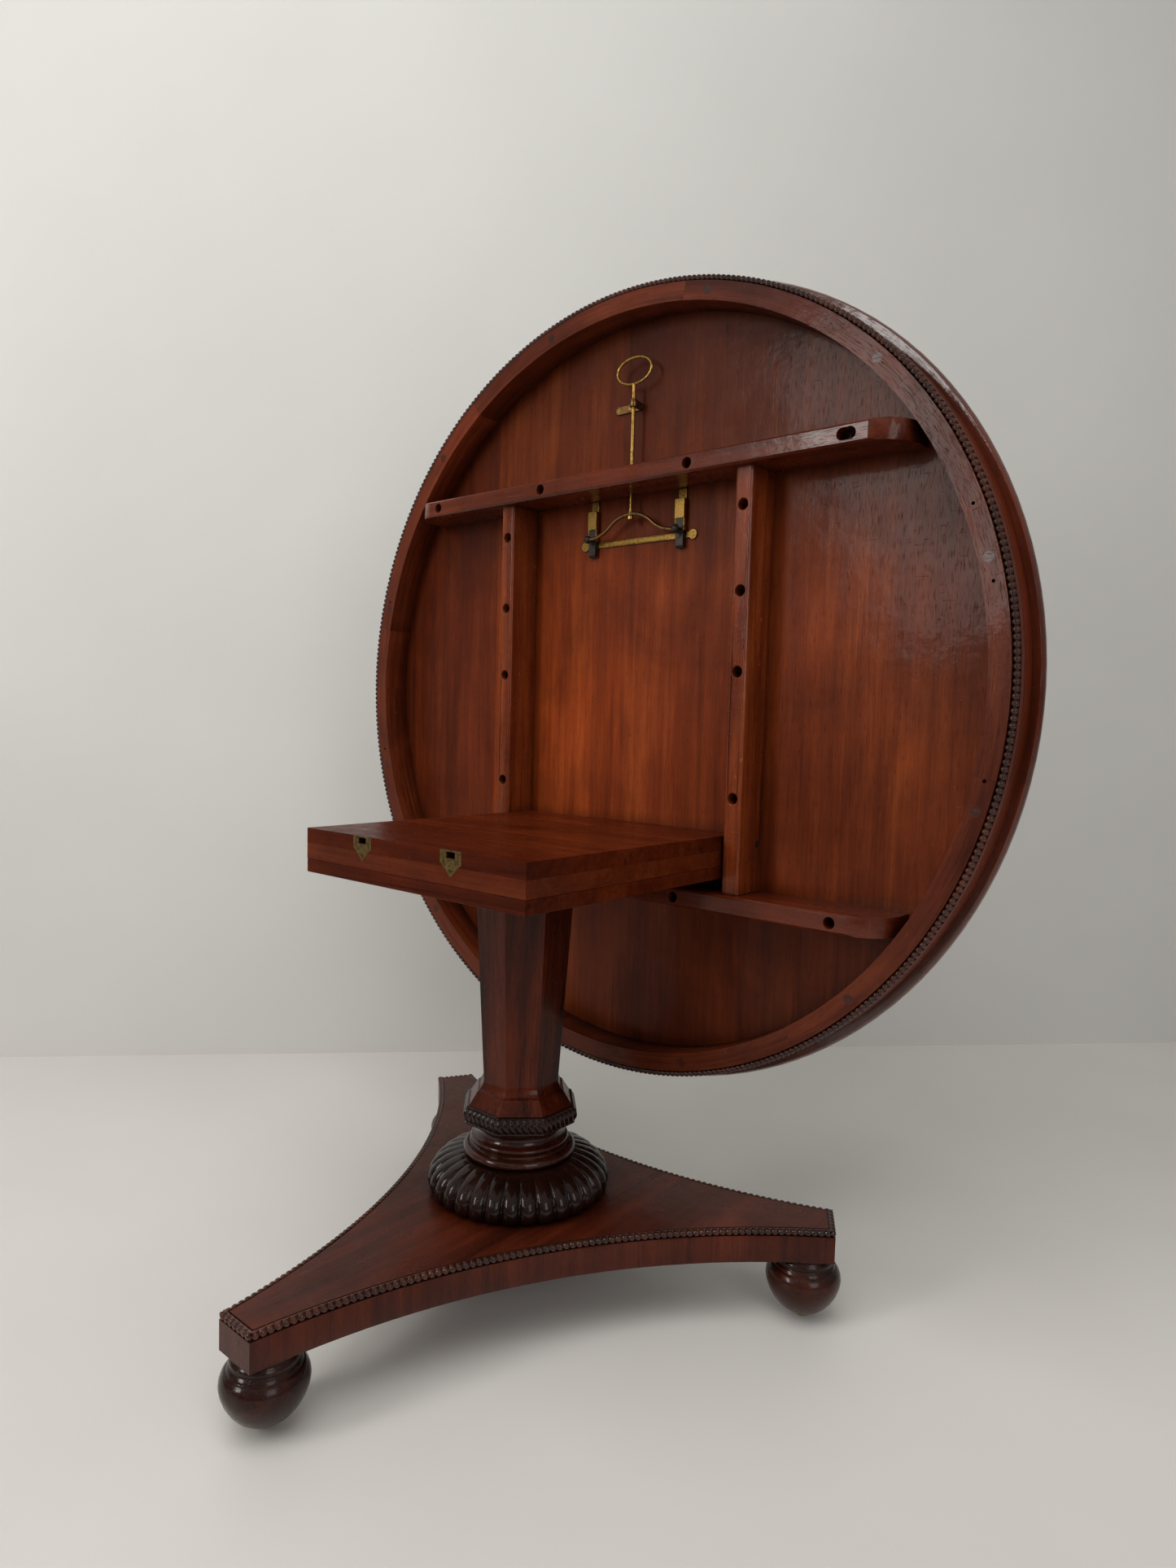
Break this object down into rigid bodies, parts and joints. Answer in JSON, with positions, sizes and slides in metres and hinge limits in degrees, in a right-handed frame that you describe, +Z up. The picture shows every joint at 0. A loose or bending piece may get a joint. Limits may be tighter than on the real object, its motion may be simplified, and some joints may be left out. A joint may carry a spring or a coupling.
{
  "type": "tilt top table",
  "caption": "Round tilt-top table: framed top pivoting on a block, octagonal column, gadrooned bun, concave triangular plinth, bun feet with castors.",
  "frame": {"origin": "on the floor, on the column's axis", "axes": "+Z up, +X along the pivot, +Y from the column towards the tilted-up top; the top is drawn tilted up, and +90 degrees brings it down level"},
  "size_m": [1.2938, 0.7578, 1.5612],
  "materials": {
    "panel_wood": "satin",
    "show_veneer": "polished",
    "frieze_wood": "satin",
    "pellet_wood": "satin",
    "rail_wood": "satin",
    "block_face_wood": "polished",
    "block_core_wood": "polished",
    "column_wood": "polished",
    "carved_wood": "polished",
    "plinth_wood": "polished",
    "foot_wood": "polished",
    "aged_brass": "aged",
    "wheel_brass": "tarnished",
    "dark_iron": "worn",
    "screw_steel": "dull"
  },
  "bodies": {
    "stand": {"block_top_board": "block_face_wood", "block_middle_board": "block_core_wood", "block_bottom_board": "block_face_wood", "left_strike": "aged_brass", "right_strike": "aged_brass", "strike_screws": "aged_brass", "column_shaft": "column_wood", "column_collar": "carved_wood", "column_neck": "column_wood", "gadrooned_bun": "carved_wood", "tenon_wedge": "column_wood", "plinth": "plinth_wood", "plinth_moulding": "carved_wood", "front_foot": "foot_wood", "right_foot": "foot_wood", "left_foot": "foot_wood", "castor_cups": "aged_brass"},
    "top": {"top_board_1": "panel_wood", "top_board_2": "panel_wood", "top_board_3": "panel_wood", "top_board_4": "panel_wood", "top_veneer": "show_veneer", "edge_lipping": "show_veneer", "frieze_ring": "frieze_wood", "frieze_pellets": "pellet_wood", "frieze_veneer": "show_veneer", "frieze_bead": "carved_wood", "left_bearer": "rail_wood", "right_bearer": "rail_wood", "upper_batten": "rail_wood", "lower_batten": "rail_wood", "bearer_screws": "screw_steel", "batten_screws": "screw_steel", "pivot_pins": "dark_iron", "pivot_washers": "dark_iron", "latch_plate": "aged_brass", "left_latch_case": "aged_brass", "right_latch_case": "aged_brass", "bolt_springs": "screw_steel", "rod_keeper": "aged_brass", "latch_screws": "aged_brass"},
    "latch": {"left_latch_bolt": "dark_iron", "right_latch_bolt": "dark_iron", "yoke": "aged_brass", "yoke_knobs": "dark_iron", "pull_rod": "aged_brass", "rod_nut": "aged_brass", "pull_ring": "aged_brass"},
    "front_castor": {"front_castor_horn": "aged_brass", "front_castor_axle": "screw_steel"},
    "front_wheel": {"front_castor_wheel": "wheel_brass"},
    "right_castor": {"right_castor_horn": "aged_brass", "right_castor_axle": "screw_steel"},
    "right_wheel": {"right_castor_wheel": "wheel_brass"},
    "left_castor": {"left_castor_horn": "aged_brass", "left_castor_axle": "screw_steel"},
    "left_wheel": {"left_castor_wheel": "wheel_brass"}
  },
  "joints": [
    {"name": "top_tilt", "type": "hinge", "parent": "stand", "child": "top", "pos_m": [0, 0.237, 0.6773], "axis": [1, 0, 0], "range_deg": [0, 90]},
    {"name": "latch_pull", "type": "slide", "parent": "top", "child": "latch", "axis": [0, 0, 1], "range_m": [0, 0.012], "stiffness_N_per_m": 400, "springref_m": -0.01, "deforming": ["bolt_springs"]},
    {"name": "front_swivel", "type": "hinge", "parent": "stand", "child": "front_castor", "pos_m": [0, -0.43, 0.02], "axis": [0, 0, 1], "continuous": true},
    {"name": "front_roll", "type": "hinge", "parent": "front_castor", "child": "front_wheel", "pos_m": [0, -0.4335, 0.0075], "axis": [-1, 0, 0], "continuous": true},
    {"name": "right_swivel", "type": "hinge", "parent": "stand", "child": "right_castor", "pos_m": [0.37239, 0.215, 0.02], "axis": [0, 0, 1], "continuous": true},
    {"name": "right_roll", "type": "hinge", "parent": "right_castor", "child": "right_wheel", "pos_m": [0.37542, 0.21675, 0.0075], "axis": [0.5, -0.866, 0], "continuous": true},
    {"name": "left_swivel", "type": "hinge", "parent": "stand", "child": "left_castor", "pos_m": [-0.37239, 0.215, 0.02], "axis": [0, 0, 1], "continuous": true},
    {"name": "left_roll", "type": "hinge", "parent": "left_castor", "child": "left_wheel", "pos_m": [-0.37542, 0.21675, 0.0075], "axis": [0.5, 0.866, 0], "continuous": true}
  ]
}
